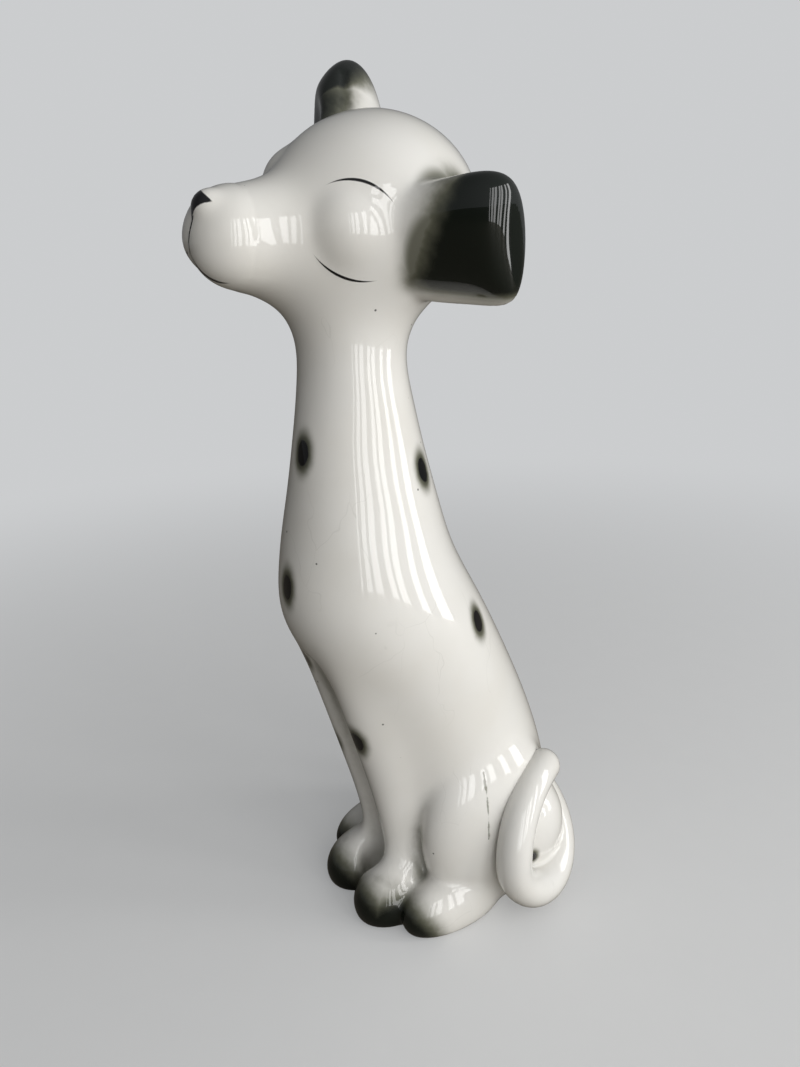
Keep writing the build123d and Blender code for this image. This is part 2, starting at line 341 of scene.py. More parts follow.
# pairs of faces that share an edge
def facePairs(quads):
    edges = np.sort(np.stack([quads, np.roll(quads, -1, axis=1)], 2).reshape(-1, 2), axis=1)
    order = np.lexsort((edges[:, 1], edges[:, 0]))
    same = (edges[order[1:]] == edges[order[:-1]]).all(1)
    return np.stack([order[:-1][same], order[1:][same]], 1) // quads.shape[1]


sorting = {"fewestAlike": 2, "rounds": 12, "mostSteps": 4000}


# a face whose neighbours nearly all belong to another piece goes over to that piece
def sortFaces(quads, label, names):
    pairs = facePairs(quads)
    code = np.array([names.index(word) for word in label])
    for turn in range(sorting["rounds"]):
        votes = np.zeros((len(quads), len(names)), int)
        np.add.at(votes, (pairs[:, 0], code[pairs[:, 1]]), 1)
        np.add.at(votes, (pairs[:, 1], code[pairs[:, 0]]), 1)
        alone = votes[np.arange(len(quads)), code] < sorting["fewestAlike"]
        code = np.where(alone, votes.argmax(1), code)
    group = np.arange(len(quads))
    alike = pairs[code[pairs[:, 0]] == code[pairs[:, 1]]]
    for turn in range(sorting["mostSteps"]):
        before = group.copy()
        np.minimum.at(group, alike[:, 0], group[alike[:, 1]])
        np.minimum.at(group, alike[:, 1], group[alike[:, 0]])
        group = group[group]
        if (group == before).all():
            break
    for number in range(1, len(names)):  # scraps of a slip or ear go back to the casting
        mine = np.flatnonzero(code == number)
        largest = np.bincount(group[mine]).argmax()
        code[mine[group[mine] != largest]] = 0
    return np.array(names, object)[code]


# faces at an edge that more than two of them share go, and the gap is closed like any other rim
def dropPinched(faces):
    uses = {}
    for face in faces:
        for i in range(len(face)):
            edge = (face[i - 1], face[i])
            uses[edge] = uses.get(edge, 0) + 1
    return [face for face in faces if all(uses[(face[i - 1], face[i])] == 1 for i in range(len(face)))]


# rim steps of an open shell, each against the direction of its face
def rimSteps(faces):
    edges = {(face[i], face[i - 1]) for face in faces for i in range(len(face))}
    steps = {}
    for a, b in sorted(edges):
        if (b, a) not in edges:
            steps.setdefault(a, []).append(b)
    return steps


# where a shell only touches itself at a corner, each fan of faces gets a corner of its own
def untieCorners(points, normals, faces):
    tied = {corner for corner, onward in rimSteps(faces).items() if len(onward) > 1}
    around = {corner: [] for corner in tied}
    for number, face in enumerate(faces):
        for corner in tied.intersection(face):
            around[corner].append(number)
    copies = []
    for corner in sorted(tied):
        left = list(around[corner])
        first = True
        while left:
            fan, grown = {left.pop()}, True
            while grown:
                rim = set().union(*(faces[number] for number in fan)) - {corner}
                joined = [n for n in left if any(
                    {faces[n][i], faces[n][i - 1]} == {corner, c} for i in range(len(faces[n])) for c in rim)]
                left = [n for n in left if n not in joined]
                fan.update(joined)
                grown = bool(joined)
            if not first:
                copies.append(corner)
                fresh = len(points) + len(copies) - 1
                for number in fan:
                    faces[number] = tuple(fresh if c == corner else c for c in faces[number])
            first = False
    return np.vstack([points, points[copies]]), np.vstack([normals, normals[copies]]), faces


# closes each open rim with a fan, so that every piece is a closed shell
def closeRims(points, normals, faces, inward):
    points, normals, faces = untieCorners(points, normals, faces)
    steps = {corner: onward[0] for corner, onward in rimSteps(faces).items()}
    hubs, caps = [], []
    while steps:
        rim, at = [], next(iter(steps))
        while at in steps:
            rim.append(at)
            at = steps.pop(at)
        hubs.append(points[rim].mean(0) + inward)
        caps += [(rim[i - 1], rim[i], len(points) + len(hubs) - 1) for i in range(len(rim))]
    if hubs:
        points = np.vstack([points, hubs])
        normals = np.vstack([normals, np.tile([0, 0, 1.0], (len(hubs), 1))])
    return points, normals, faces + caps


def addShell(name, points, normals, quads, inward=(0, 0, 0)):
    faces = dropPinched([tuple(quad) for quad in quads])
    used = np.unique(np.concatenate([np.ravel(f) for f in faces]))
    renumber = -np.ones(len(points), int)
    renumber[used] = np.arange(len(used))
    faces = [tuple(int(renumber[i]) for i in face) for face in faces]
    points, normals, faces = closeRims(points[used], normals[used], faces, inward)
    mesh = bpy.data.meshes.new(name)
    mesh.from_pydata((points * mm).tolist(), [], faces)
    mesh.polygons.foreach_set("use_smooth", np.ones(len(mesh.polygons), bool))
    own = mesh.attributes.new("custom_normal", "FLOAT_VECTOR", "POINT")
    own.data.foreach_set("vector", normals.astype(np.float32).ravel())
    piece = bpy.data.objects.new(name, mesh)
    bpy.context.scene.collection.objects.link(piece)
    print(name, len(mesh.polygons), "faces")
    return piece


# one skin for the casting and its ears, split along the joints, so that the glaze runs over them unbroken
figureForm = {
    "low": (-60, -84, -3), "high": (76, 62, 304),
    "pieces": ["glazedCasting", "leftEar", "rightEar", "leftEarSlip", "rightEarSlip"],
}


def buildFigure():
    points, faces, normals = meshField(figureField, figureForm["low"], figureForm["high"])
    points[:, 2] = np.maximum(points[:, 2], 0)
    print("figure meshed", len(points), "points", points.min(0), points.max(0))
    centres = points[faces].mean(1)
    fromBody = evaluate(bodyField, centres)
    label = np.full(len(faces), "glazedCasting", object)
    for side, word in ((1, "left"), (-1, "right")):
        lead = evaluate(lambda p: earField(p, side), centres) - fromBody
        label[lead < -earForm["slipBand"]] = word + "Ear"
        label[np.abs(lead) <= earForm["slipBand"]] = word + "EarSlip"
    label = sortFaces(faces, label, figureForm["pieces"])
    return {name: addShell(name, points, normals, faces[label == name]) for name in figureForm["pieces"]}


# one class wraps a socket of a node tree: operators add Math nodes, add() brings in any other node
class Wire:
    def __init__(self, tree, socket=None):
        self.tree, self.socket = tree, socket

    def add(self, kind, settings=None, inputs=None, output=0):
        node = self.tree.nodes.new(kind)
        for key, value in (settings or {}).items():
            setattr(node, key, value)
        for key, value in (inputs or {}).items():
            if isinstance(value, Wire):
                value.into(node.inputs[key])
            else:
                node.inputs[key].default_value = value
        return Wire(self.tree, node.outputs[output] if node.outputs else None)

    def beside(self, output):  # another output of the same node
        return Wire(self.tree, self.socket.node.outputs[output])

    def into(self, socket):
        self.tree.links.new(self.socket, socket)

    def math(self, operation, *values):
        return self.add("ShaderNodeMath", {"operation": operation}, dict(enumerate(values)))

    def __add__(self, other):
        return self.math("ADD", self, other)

    def __radd__(self, other):
        return self.math("ADD", other, self)

    def __sub__(self, other):
        return self.math("SUBTRACT", self, other)

    def __rsub__(self, other):
        return self.math("SUBTRACT", other, self)

    def __mul__(self, other):
        return self.math("MULTIPLY", self, other)

    def __rmul__(self, other):
        return self.math("MULTIPLY", other, self)

    def __truediv__(self, other):
        return self.math("DIVIDE", self, other)

    def __rtruediv__(self, other):
        return self.math("DIVIDE", other, self)

    def __abs__(self):
        return self.math("ABSOLUTE", self)

    def root(self):
        return self.math("SQRT", self)

    def atLeast(self, other):
        return self.math("MAXIMUM", self, other)

    def atMost(self, other):
        return self.math("MINIMUM", self, other)

    def fade(self, full, gone):  # 1 at full, 0 at gone
        return self.add("ShaderNodeMapRange", {"interpolation_type": "SMOOTHSTEP"},
                        {"Value": self, "From Min": gone, "From Max": full, "To Min": 0.0, "To Max": 1.0})


# tail: a geometry tree that bends a tapered tube round a loop beside the left haunch, sizes in metres
tailForm = {
    "Loop Back": 0.0282, "Loop Radius": 0.0176, "Loop Height": 0.0272, "Side Reach": 0.0440,
    "Root Angle": 35.0, "Tip Angle": -294.0, "Tip Stretch": 0.011,
    "Root Tuck": 0.0380, "Root Share": 0.5, "Tip Tuck": 0.0150, "Tip Share": 0.35,
    "Root Radius": 0.0070, "Middle Radius": 0.0068, "Tip Radius": 0.0062,
    "Round Share": 0.045, "End Share": 0.0002, "Rings": 180, "Sides": 40,
}


def buildTailTree():
    tree = bpy.data.node_groups.new("tailLoop", "GeometryNodeTree")
    tree.interface.new_socket("Geometry", in_out="INPUT", socket_type="NodeSocketGeometry")
    for key, value in tailForm.items():
        kind = "NodeSocketInt" if isinstance(value, int) else "NodeSocketFloat"
        tree.interface.new_socket(key, in_out="INPUT", socket_type=kind)
    tree.interface.new_socket("Glaze", in_out="INPUT", socket_type="NodeSocketMaterial")
    tree.interface.new_socket("Geometry", in_out="OUTPUT", socket_type="NodeSocketGeometry")
    board = Wire(tree)
    source = board.add("NodeGroupInput")
    size = {key: source.beside(key) for key in list(tailForm) + ["Glaze"]}
    line = board.add("GeometryNodeCurvePrimitiveLine", {}, {"End": (0, 0, 1)})
    line = board.add("GeometryNodeResampleCurve", {}, {"Curve": line, "Count": size["Rings"]})
    share = board.add("GeometryNodeSplineParameter")
    nearRoot = (1 - share / size["Root Share"]).atLeast(0.0)
    nearTip = (1 - (1 - share) / size["Tip Share"]).atLeast(0.0)
    angle = (size["Root Angle"] + share * (size["Tip Angle"] - size["Root Angle"])) * radians(1)
    radius = size["Loop Radius"] + size["Tip Stretch"] * nearTip * nearTip
    reach = (size["Side Reach"] - size["Root Tuck"] * nearRoot * nearRoot
             - size["Tip Tuck"] * nearTip * nearTip)
    place = board.add("ShaderNodeCombineXYZ", {}, {
        "X": reach,
        "Y": size["Loop Back"] + radius * board.math("COSINE", angle),
        "Z": size["Loop Height"] + radius * board.math("SINE", angle)})
    path = board.add("GeometryNodeSetPosition", {}, {"Geometry": line, "Position": place})
    pastMiddle = ((share - size["Root Share"]) / (1 - size["Root Share"])).atLeast(0.0)
    tube = (size["Middle Radius"] + (size["Root Radius"] - size["Middle Radius"]) * nearRoot
            - (size["Middle Radius"] - size["Tip Radius"]) * pastMiddle)
    atEnd = (1 - (1 - share) / size["Round Share"]).atLeast(0.0)
    dome = (1 - atEnd * atEnd).atLeast(size["End Share"]).root()
    ring = board.add("GeometryNodeCurvePrimitiveCircle", {}, {"Resolution": size["Sides"], "Radius": 1.0})
    skin = board.add("GeometryNodeCurveToMesh", {},
                     {"Curve": path, "Profile Curve": ring, "Scale": tube * dome, "Fill Caps": True})
    skin = board.add("GeometryNodeSetShadeSmooth", {}, {"Geometry": skin})
    skin = board.add("GeometryNodeRealizeInstances", {}, {"Geometry": skin})
    skin = board.add("GeometryNodeSetMaterial", {}, {"Geometry": skin, "Material": size["Glaze"]})
    board.add("NodeGroupOutput", {}, {"Geometry": skin})
    return tree


def buildTail(glaze):
    carrier = bpy.data.objects.new("tailCarrier", bpy.data.meshes.new("tailCarrier"))
    bpy.context.scene.collection.objects.link(carrier)
    tree = buildTailTree()
    modifier = carrier.modifiers.new("tailLoop", "NODES")
    modifier.node_group = tree
    for item in tree.interface.items_tree:
        if item.in_out == "INPUT" and item.name in tailForm:
            modifier[item.identifier] = tailForm[item.name]
        elif item.in_out == "INPUT" and item.name == "Glaze":
            modifier[item.identifier] = glaze
    bpy.context.view_layer.update()
    mesh = bpy.data.meshes.new_from_object(carrier.evaluated_get(bpy.context.evaluated_depsgraph_get()))
    mesh.name = "curledTail"
    carrier.modifiers.remove(modifier)
    bpy.data.objects.remove(carrier)
    tail = bpy.data.objects.new("curledTail", mesh)
    bpy.context.scene.collection.objects.link(tail)
    print("tail built", len(mesh.polygons), "faces")
    return tail


# slip that lutes the tail on: it fills the loop over the haunch and runs round the root
slipForm = {
    "low": (4, -8, -2), "high": (60, 62, 66), "spinePoints": 60,
    "blend": 5, "sink": 0.15, "split": 39, "inward": (-16, 0, 0),
    "fillCentre": (28, 28, 29), "fillRadii": (14.5, 16, 20), "fillBlend": 4,
    "reachCentre": (35, 29, 27), "reachRadii": (18, 22, 23), "reachRound": 5,
}


# the tail's middle line in millimetres, by the same rule as its tree
def tailSpine(share):
    size = {key: value / mm for key, value in tailForm.items()}
    nearRoot = np.maximum(1 - share / tailForm["Root Share"], 0)
    nearTip = np.maximum(1 - (1 - share) / tailForm["Tip Share"], 0)
    angle = np.radians(tailForm["Root Angle"] + share * (tailForm["Tip Angle"] - tailForm["Root Angle"]))
    radius = size["Loop Radius"] + size["Tip Stretch"] * nearTip ** 2
    reach = size["Side Reach"] - size["Root Tuck"] * nearRoot ** 2 - size["Tip Tuck"] * nearTip ** 2
    back = size["Loop Back"] + radius * np.cos(angle)
    return np.stack([reach, back, size["Loop Height"] + radius * np.sin(angle)], 1)


def slipField(p):
    spine = tailSpine(np.linspace(0, 1, slipForm["spinePoints"]))
    thick = tailForm["Middle Radius"] / mm
    tail = np.full(len(p), np.inf)
    for start, end in zip(spine[:-1], spine[1:]):
        tail = np.minimum(tail, taper(p, start, end, thick, thick))
    d = softMin(bodyField(p), tail, slipForm["blend"])
    d = softMin(d, blob(p, slipForm["fillCentre"], slipForm["fillRadii"]), slipForm["fillBlend"])
    reach = blob(p, slipForm["reachCentre"], slipForm["reachRadii"])
    return softMax(d + slipForm["sink"], reach, slipForm["reachRound"])


def buildSlips():
    points, faces, normals = meshField(slipField, slipForm["low"], slipForm["high"])
    behind = points[faces].mean(1)[:, 1] > slipForm["split"]
    return {name: addShell(name, points, normals, faces[mine], slipForm["inward"])
            for name, mine in (("tailRootSlip", behind), ("tailHaunchSlip", ~behind))}


# glaze: off-white body, airbrushed shading, black underglaze marks and one clear coat over all
# sizes in millimetres, and a pair of values is where something is full and where it is gone
glazeForm = {
    "white": (0.80, 0.785, 0.745, 1), "cream": (0.74, 0.715, 0.655, 1), "olive": (0.15, 0.15, 0.108, 1),
    "greenBlack": (0.002, 0.0045, 0.0025, 1), "ink": (0.003, 0.003, 0.004, 1), "clay": (0.50, 0.39, 0.29, 1),
    "cloudScale": 0.03, "cloudDetail": 4.0, "cloud": (0.75, 0.35), "cloudDepth": 0.5, "rippleScale": 0.35,
    "oliveShade": (0.62, -0.05), "blackShade": (0.92, 0.36), "bareFoot": (0.15, 0.45),
    "roughness": 0.32, "clayRoughness": 0.85, "coatRoughness": 0.03, "coatIor": 1.5, "underGloss": 0.05,
    "crazeSize": (21, 21, 60), "crazeWidth": 0.006, "crazeDepth": 0.1, "crazeHeight": (215, 232),
    "crazeBend": 14, "crazeBendScale": 0.06, "patchScale": 0.022, "patch": (0.60, 0.50),
    "pinholeGap": 7.0, "pinholeRadius": 0.45, "pinholeCore": 0.6,
    "pinholeDraw": (0.80, 0.78), "pinholeDepth": 0.8,
}
spotForm = {
    "squash": 0.62, "radius": 2.6, "edge": 0.2, "wobble": 0.7,
    "haloStart": 1.5, "haloReach": 7, "haloDepth": 0.8,
    "places": [  # where, share of the full size
        ((4, -44, 181.3), 1), ((17.2, -7.8, 172.7), 1), ((2.2, -52.1, 137.3), 1), ((24.9, 8.7, 117.6), 1),
        ((11.8, -34.5, 77.5), 1), ((-9, -44, 105), 1), ((-11, -34, 64), 1), ((40.5, 22.5, 22.5), 0.55),
        ((-20.5, -20, 176), 1), ((-29, -12, 128), 1), ((-8, 30, 88), 1), ((-31, 5, 92), 1),
        ((-33, 30, 40), 1), ((-14, 0, 160), 1), ((6, -3, 196), 1)],
}
faceForm = {  # strokes in the head's own axes: start, middle, end
    "brow": ((25.2, 12.8, 15), (19, 17, 17.3), (11.7, 25.3, 13.9)), "browWidth": 0.36,
    "lid": ((31.5, 19.4, -1.9), (26, 23.9, -6.2), (16.7, 28.8, -6.8)), "lidWidth": 0.34,
    "mouth": ((60.4, 1.4, -6), (57.8, 6.1, -10.7), (53.4, 11, -11)), "mouthWidth": 0.45,
    "swell": 1.15, "strokeEdge": 0.12, "noseSlope": (0.66, 0, -0.75), "noseTop": 29.4, "noseBottom": 36.8,
    "noseHalf": 4.0, "noseFront": 48, "noseRound": 1.2, "noseFlank": 0.84, "noseEdge": 0.15,
    "philtrumShift": 0.6, "philtrumWidth": 0.4, "philtrumTop": 4, "philtrumBottom": -6.5,
}
shadeForm = {
    "near": (40, 14), "nearLean": -0.9, "nearRise": -0.15, "far": (35, 16), "farLean": 0.8,
    "rootCentre": (-3, 4.5), "rootHalf": (13.5, 17.5), "root": (0.86, 1.08), "rootDepth": 0.5,
    "earOut": (36, 30), "spray": (0.95, 1.45), "temple": (22, 12),
    "lipHeight": -8, "lipStart": 34, "lipSlope": 0.29, "lip": (3.5, -4),
    "toes": [((11.5, -40, -1), (8, 25)), ((26, -29, -1), (7, 23))],  # tip of the paw, full and gone
    "creases": [  # painted shade in the creases: start, end, reach, depth
        ((1, -40, 104), (2, -24, 22), 7.5, 0.34), ((19, -14, 15), (20, -13, 34), 6.5, 0.42),
        ((13, -30, 16), (23, -22, 14), 5, 0.3)],
    # a thin line of painted shade in the groove between the haunch and the tail
    "tailGrooveShade": ((0, 5.8, 61), (0, 4.3, 36)), "tailGrooveShadeReach": 0.55, "tailGrooveShadeDepth": 0.4, "tailGrooveShadeSide": (22, 20),
    "foldReach": 2.2, "foldDepth": 0.9, "earRipple": 3, "toeRipple": 1.5, "creaseRipple": 2,
}


def vectorMath(operation, a, b, output=0):
    other = tuple(float(c) for c in b) if not isinstance(b, Wire) else b
    return a.add("ShaderNodeVectorMath", {"operation": operation}, {0: a, 1: other}, output)


def dot(a, b):
    return vectorMath("DOT_PRODUCT", a, b, "Value")


def distance(a, b):
    return vectorMath("DISTANCE", a, b, "Value")


def split(a):
    first = a.add("ShaderNodeSeparateXYZ", {}, {0: a})
    return [first.beside(i) for i in range(3)]


def join(x, y, z):
    return y.add("ShaderNodeCombineXYZ", {}, {0: x, 1: y, 2: z})


def noise(at, scale, detail=2.0, output=0):
    return at.add("ShaderNodeTexNoise", {}, {"Vector": at, "Scale": scale, "Detail": detail}, output)


def mixColour(factor, a, b):  # sockets 6, 7 and 2 of the node are its colours
    return factor.add("ShaderNodeMix", {"data_type": "RGBA"}, {0: factor, 6: a, 7: b}, 2)


def fromLine(at, start, end):
    start, end = np.array(start, float), np.array(end, float)
    run = end - start
    share = ((dot(at, run) - float(start @ run)) / float(run @ run)).atLeast(0.0).atMost(1.0)
    gap = [c - float(start[i]) - share * float(run[i]) for i, c in enumerate(split(at))]
    return (gap[0] * gap[0] + gap[1] * gap[1] + gap[2] * gap[2]).root()


# a tapered brush stroke over three points: part of the circle through them, thin at both ends
def stroke(at, points, width):
    start, middle, end = (np.array(c, float) for c in points)
    side, chord = middle - start, end - start
    across = np.cross(side, chord)
    toHub = chord @ chord * np.cross(across, side) + side @ side * np.cross(chord, across)
    hub = start + toHub / (2 * across @ across)
    radius, half = float(np.linalg.norm(start - hub)), float(np.linalg.norm(chord) / 2)
    along = (dot(at, chord / (2 * half)) - float((start + end) @ chord / (4 * half))) / half
    facing = middle - hub
    ahead = (dot(at, facing) - float(hub @ facing)).fade(1.0, -1.0)
    off = abs(distance(at, hub) - radius)
    swell, edge = faceForm["swell"], faceForm["strokeEdge"]
    return (width * (swell - along * along * swell) - off).fade(edge, -edge) * ahead


# what the paint is laid out by: the figure's own axes, the head's and the ears'
def paintAxes(where):
    x, y, z = split(where)
    at = {"where": where, "x": x, "y": y, "z": z, "side": join(abs(x), y, z)}
    centre = np.array(headForm["centre"], float)
    head, ears = headAxes(headForm["roll"]).T, headAxes(earForm["roll"]).T
    names = {"forward": head[0], "left": head[1], "up": head[2], "earLeft": ears[1], "earUpward": ears[2]}
    for name, axis in names.items():
        at[name] = dot(where, axis) - float(centre @ axis)
    at["ripple"] = noise(where, glazeForm["rippleScale"]) - 0.5
    return at


# airbrush on the ears: black ends that fade through olive to the root
def earSpray(at):
    form, forward, earUpward = shadeForm, at["forward"], at["earUpward"]
    out, ripple = abs(at["earLeft"]), at["ripple"] * shadeForm["earRipple"]
    near = out + forward * form["nearLean"] + earUpward * form["nearRise"]
    acrossRoot = (forward - form["rootCentre"][0]) / form["rootHalf"][0]
    overRoot = (earUpward - form["rootCentre"][1]) / form["rootHalf"][1]
    fromRoot = (acrossRoot * acrossRoot + overRoot * overRoot).root()
    # the spray stops short of each ear's lower edge, leaving a painted highlight along the lit lower lip
    lip = earUpward - form["lipHeight"] - (out - form["lipStart"]) * form["lipSlope"]
    near = (near + ripple).fade(*form["near"]).atLeast(fromRoot.fade(*form["root"]) * form["rootDepth"])
    near = near * lip.fade(*form["lip"])
    far = (out + forward * form["farLean"] + ripple).fade(*form["far"])
    onLeft = at["earLeft"].fade(2.0, -2.0)
    sprayed = out.fade(*form["earOut"]).atLeast(fromRoot.fade(*form["spray"]))
    return (near * onLeft + far * (1 - onLeft)) * sprayed * out.fade(*form["temple"])


# airbrush on the ears and toes, and painted shade in the creases, in the groove before the tail and along the
# right ear's fold
def airbrushAndPaintedShade(at):
    form, ripple = shadeForm, at["ripple"]
    shade = earSpray(at)
    for toe, reach in form["toes"]:
        shade = shade.atLeast((distance(at["side"], toe) + ripple * form["toeRipple"]).fade(*reach))
    # painted shade darkens the groove between the forelegs, the front of the haunch and the gap between the
    # paws
    for start, end, reach, depth in form["creases"]:
        crease = fromLine(at["side"], start, end) + ripple * form["creaseRipple"]
        shade = shade.atLeast(crease.fade(0.0, reach) * depth)
    # painted shade: a thin dark line down the groove between the haunch and the tail's left arm
    tailGrooveShade = fromLine(join(0.0, at["y"], at["z"]), *form["tailGrooveShade"]) + ripple * form["creaseRipple"]
    tailGrooveShade = tailGrooveShade.fade(0.0, form["tailGrooveShadeReach"]) * at["x"].fade(*form["tailGrooveShadeSide"])
    shade = shade.atLeast(tailGrooveShade * form["tailGrooveShadeDepth"])
    # painted shade along the fold in the right ear
    onRight = np.array((1, -1, 1))
    fold = fromLine(join(at["forward"], at["earLeft"], at["earUpward"]),
                    earForm["foldRoot"] * onRight, earForm["foldTip"] * onRight)
    return shade.atLeast(fold.fade(0.0, form["foldReach"]) * form["foldDepth"])


# black spots, each with a soft halo
def paintSpots(at):
    form, ink, halo = spotForm, None, None
    squashed = vectorMath("MULTIPLY", at["where"], (1, 1, form["squash"]))
    for (px, py, pz), share in form["places"]:
        away = distance(squashed, (px, py, pz * form["squash"])) * (1 / share) + at["ripple"] * form["wobble"]
        mark = away.fade(form["radius"] - form["edge"], form["radius"] + form["edge"])
        ring = away.fade(form["radius"] - form["haloStart"], form["haloReach"]) * form["haloDepth"]
        ink = mark if ink is None else ink.atLeast(mark)
        halo = ring if halo is None else halo.atLeast(ring)
    return ink, halo


# brows, lids, mouth, nose and the line below it
def paintFace(at, ink):
    form, left, up = faceForm, at["left"], at["up"]
    face = join(at["forward"], abs(left), up)
    for key in ("brow", "lid", "mouth"):
        ink = ink.atLeast(stroke(face, form[key], form[key + "Width"]))
    ahead = at["forward"].fade(form["noseFront"] + 1, form["noseFront"] - 1)
    down = dot(face, form["noseSlope"])
    slant = (form["noseBottom"] - down) * (form["noseHalf"] / (form["noseBottom"] - form["noseTop"]))
    flank = (abs(left) - slant) * form["noseFlank"]
    nose = flank.math("SMOOTH_MAX", flank, form["noseTop"] - down, form["noseRound"])
    ink = ink.atLeast(nose.fade(-form["noseEdge"], form["noseEdge"]) * ahead)
    width, edge = form["philtrumWidth"], form["strokeEdge"]
    line = abs(left - form["philtrumShift"]).fade(width - edge, width + edge) * ahead
    above = (up - form["philtrumTop"]).fade(0.0, 1.0)
    return ink.atLeast(line * above * (up - form["philtrumBottom"]).fade(0.5, -0.5))


# crazing in patches, and pinholes
def glazeFlaws(at):
    form, where = glazeForm, at["where"]
    bend = noise(where, form["crazeBendScale"], output="Color")
    bend = vectorMath("MULTIPLY", bend, (form["crazeBend"],) * 3)
    cells = vectorMath("DIVIDE", vectorMath("ADD", where, bend), form["crazeSize"])
    craze = where.add("ShaderNodeTexVoronoi", {"feature": "DISTANCE_TO_EDGE"},
                      {"Vector": cells, "Scale": 1.0})
    patch = noise(where, form["patchScale"]).fade(*form["patch"]) * at["z"].fade(*form["crazeHeight"])
    craze = craze.fade(0.0, form["crazeWidth"]) * patch * form["crazeDepth"]
    dots = where.add("ShaderNodeTexVoronoi", {},
                     {"Vector": where, "Scale": 1 / form["pinholeGap"]}, "Distance")
    chosen = split(dots.beside("Color"))[0].fade(*form["pinholeDraw"])
    size = form["pinholeRadius"] / form["pinholeGap"]
    return craze, dots.fade(size * form["pinholeCore"], size) * chosen


def buildGlaze():
    form = glazeForm
    glaze = bpy.data.materials.new("paintedGlaze")
    glaze.use_nodes = True
    shader = glaze.node_tree.nodes["Principled BSDF"]
    place = Wire(glaze.node_tree).add("ShaderNodeTexCoord", output="Object")
    at = paintAxes(vectorMath("MULTIPLY", place, (1 / mm,) * 3))
    ink, halo = paintSpots(at)
    ink = paintFace(at, ink)
    shade = airbrushAndPaintedShade(at).atLeast(halo)
    craze, pinhole = glazeFlaws(at)
    bare = at["z"].fade(*form["bareFoot"])
    cloud = noise(at["where"], form["cloudScale"], form["cloudDetail"])
    colour = mixColour(cloud.fade(*form["cloud"]) * form["cloudDepth"], form["white"], form["cream"])
    colour = mixColour(craze, colour, form["olive"])
    colour = mixColour(shade.fade(*form["oliveShade"]), colour, form["olive"])
    colour = mixColour(shade.fade(*form["blackShade"]), colour, form["greenBlack"])
    colour = mixColour(ink.atLeast(pinhole * form["pinholeDepth"]), colour, form["ink"])
    mixColour(bare, colour, form["clay"]).into(shader.inputs["Base Color"])
    rough = form["roughness"] + bare * (form["clayRoughness"] - form["roughness"])
    rough.into(shader.inputs["Roughness"])
    (1 - bare).into(shader.inputs["Coat Weight"])
    shader.inputs["Specular IOR Level"].default_value = form["underGloss"]
    shader.inputs["Coat Roughness"].default_value = form["coatRoughness"]
    shader.inputs["Coat IOR"].default_value = form["coatIor"]
    print("glaze mixed", len(glaze.node_tree.nodes), "nodes")
    return glaze


pieces = buildFigure()
glaze = buildGlaze()
pieces["curledTail"] = buildTail(glaze)
pieces.update(buildSlips())

stands = {  # piece: the node it stands for, its material slot
    "glazedCasting": ("body_casting", "glazed_body"),
    "leftEar": ("left_ear", "ear_glaze"),
    "rightEar": ("right_ear", "ear_glaze"),
    "leftEarSlip": ("left_ear_slip", "slip_joint"),
    "rightEarSlip": ("right_ear_slip", "slip_joint"),
    "curledTail": ("tail", "glazed_body"),
    "tailRootSlip": ("tail_root_slip", "slip_joint"),
    "tailHaunchSlip": ("tail_haunch_slip", "slip_joint"),
}
for name, (node, slotName) in stands.items():
    piece = pieces[name]
    piece.data.materials.clear()
    piece.data.materials.append(glaze)
    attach(piece, "root")
    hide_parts(node)
print("pieces in place", len(stands))


# stage: a pale floor, a pale surround and a window-like row of tall soft strips on the figure's left
stageForm = {
    "floorSize": 40.0, "floorColour": (0.84, 0.835, 0.82, 1), "tableColour": (0.22, 0.195, 0.155, 1),
    "floorRoughness": 0.6, "grainScale": 60.0, "grainLift": 1.03,
    "surround": (0.60, 0.61, 0.62, 1), "nearGlow": 0.35, "fadeStart": 0.12, "fadeEnd": 0.8,
    "roomBright": 0.62, "roomDim": 0.25, "roomSide": (0.96, 0.2, 0.2), "roomFade": (0.7, -0.4),
    "stripDistance": 0.95, "stripHeight": 0.44, "stripTall": 0.88,
    "strips": [  # azimuth, width, glow
        (63, 0.03, 3.4), (71, 0.09, 3.8), (81, 0.13, 4.1), (96, 0.10, 4.6), (106, 0.12, 4.9),
        (124, 0.12, 5.4), (143, 0.18, 5.6)],
}


def seenRays(board):
    return board.add("ShaderNodeLightPath", output="Is Camera Ray")


# the floor is pale to the camera, runs out into the surround, and reflects in the glaze as a darker table
def buildFloor():
    form, half = stageForm, stageForm["floorSize"] / 2
    mesh = bpy.data.meshes.new("paleFloor")
    corners = [(-half, -half, 0), (half, -half, 0), (half, half, 0), (-half, half, 0)]
    mesh.from_pydata(corners, [], [(0, 1, 2, 3)])
    floor = bpy.data.objects.new("paleFloor", mesh)
    bpy.context.scene.collection.objects.link(floor)
    paper = bpy.data.materials.new("palePaper")
    paper.use_nodes = True
    tree = paper.node_tree
    shader = tree.nodes["Principled BSDF"]
    board = Wire(tree)
    where = board.add("ShaderNodeTexCoord", output="Object")
    seen = seenRays(board)
    lifted = tuple(c * form["grainLift"] for c in form["floorColour"][:3]) + (1,)
    tone = mixColour(noise(where, form["grainScale"]), form["floorColour"], lifted)
    mixColour(seen, form["tableColour"], tone).into(shader.inputs["Base Color"])
    shader.inputs["Roughness"].default_value = form["floorRoughness"]
    far = where.add("ShaderNodeVectorMath", {"operation": "LENGTH"}, {0: where}, "Value")
    far = far.fade(form["fadeEnd"], form["fadeStart"]) * (1 - form["nearGlow"]) + form["nearGlow"]
    glow = board.add("ShaderNodeEmission", {}, {"Color": form["surround"], "Strength": 1.0})
    surface = board.add("ShaderNodeMixShader", {}, {0: far * seen, 1: Wire(tree, shader.outputs[0]), 2: glow})
    surface.into(tree.nodes["Material Output"].inputs["Surface"])
    mesh.materials.append(paper)


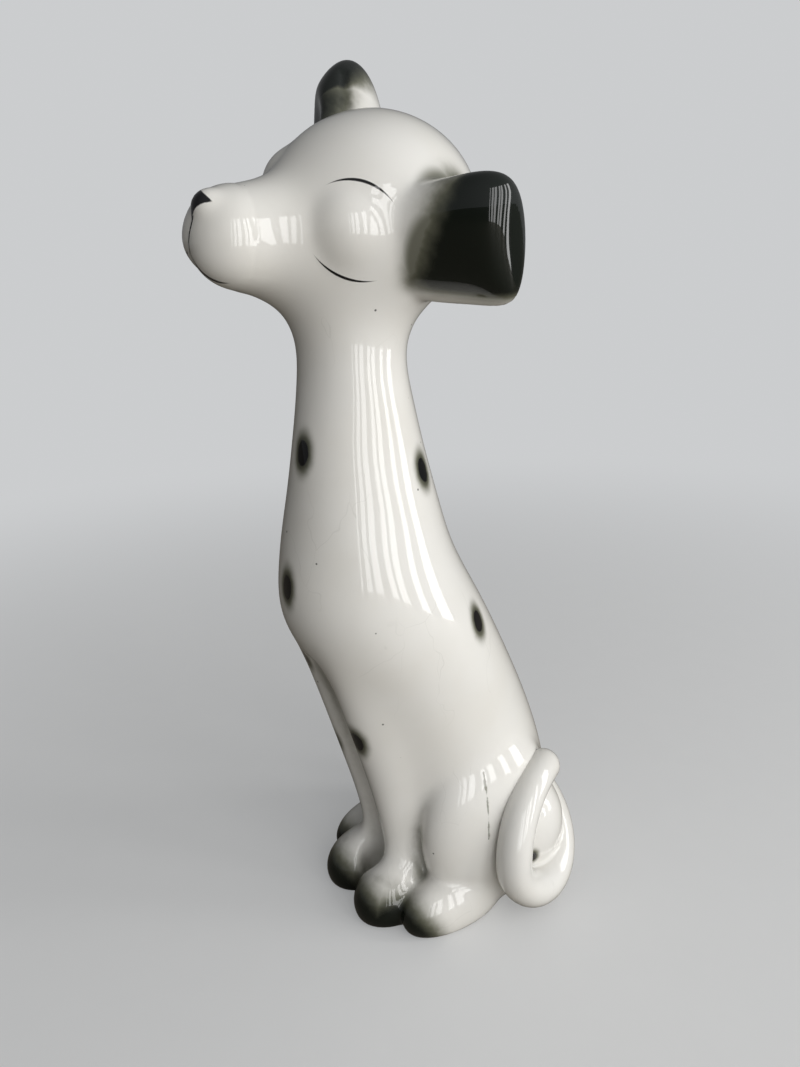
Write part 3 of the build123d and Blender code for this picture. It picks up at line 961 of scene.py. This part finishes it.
def buildRoom():
    form = stageForm
    world = bpy.data.worlds.new("paleRoom")
    bpy.context.scene.world = world
    world.use_nodes = True
    world.node_tree.nodes.clear()
    board = Wire(world.node_tree)
    towards = dot(board.add("ShaderNodeTexCoord", output="Generated"), form["roomSide"])
    room = form["roomDim"] + towards.fade(*form["roomFade"]) * (form["roomBright"] - form["roomDim"])
    seen = seenRays(board)
    strength = seen + (1 - seen) * room
    back = board.add("ShaderNodeBackground", {}, {"Color": form["surround"], "Strength": strength})
    board.add("ShaderNodeOutputWorld", {}, {"Surface": back})


def buildStrips():
    tall = stageForm["stripTall"]
    for number, (azimuth, width, glow) in enumerate(stageForm["strips"]):
        outward = Vector((sin(radians(azimuth)), -cos(radians(azimuth)), 0))
        data = bpy.data.lights.new(f"softStrip{number}", "AREA")
        data.shape = "RECTANGLE"
        data.size, data.size_y = width, tall
        data.energy = glow * pi * width * tall
        lamp = bpy.data.objects.new(data.name, data)
        lamp.location = outward * stageForm["stripDistance"] + Vector((0, 0, stageForm["stripHeight"]))
        lamp.rotation_euler = outward.to_track_quat("Z", "Y").to_euler()
        bpy.context.scene.collection.objects.link(lamp)


# camera: at the photograph's viewing angle
cameraForm = {
    "place": (0.2324, -0.1439, 0.234), "azimuth": 59.5, "down": 18, "lean": -2,
    "focalPixels": 800, "framePixels": 1067, "sensor": 36, "clipStart": 0.01,
}


def buildCamera():
    azimuth, down, lean = (radians(cameraForm[k]) for k in ("azimuth", "down", "lean"))
    flat = Vector((-sin(azimuth), cos(azimuth), 0))
    upward = Vector((0, 0, 1))
    right = flat.cross(upward)
    ahead = flat * cos(down) - upward * sin(down)
    up = flat * sin(down) + upward * cos(down)
    leaned = (right * cos(lean) + up * sin(lean), up * cos(lean) - right * sin(lean), -ahead)
    data = bpy.data.cameras.new("photoCamera")
    data.sensor_fit = "VERTICAL"
    data.sensor_height = cameraForm["sensor"]
    data.lens = cameraForm["focalPixels"] / cameraForm["framePixels"] * cameraForm["sensor"]
    data.clip_start = cameraForm["clipStart"]
    camera = bpy.data.objects.new("photoCamera", data)
    camera.matrix_world = Matrix.Translation(cameraForm["place"]) @ Matrix(leaned).transposed().to_4x4()
    bpy.context.scene.collection.objects.link(camera)
    bpy.context.scene.camera = camera


buildFloor()
buildRoom()
buildStrips()
buildCamera()
bpy.context.scene.view_settings.view_transform = "Standard"
print("stage set")

bpy.context.view_layer.update()
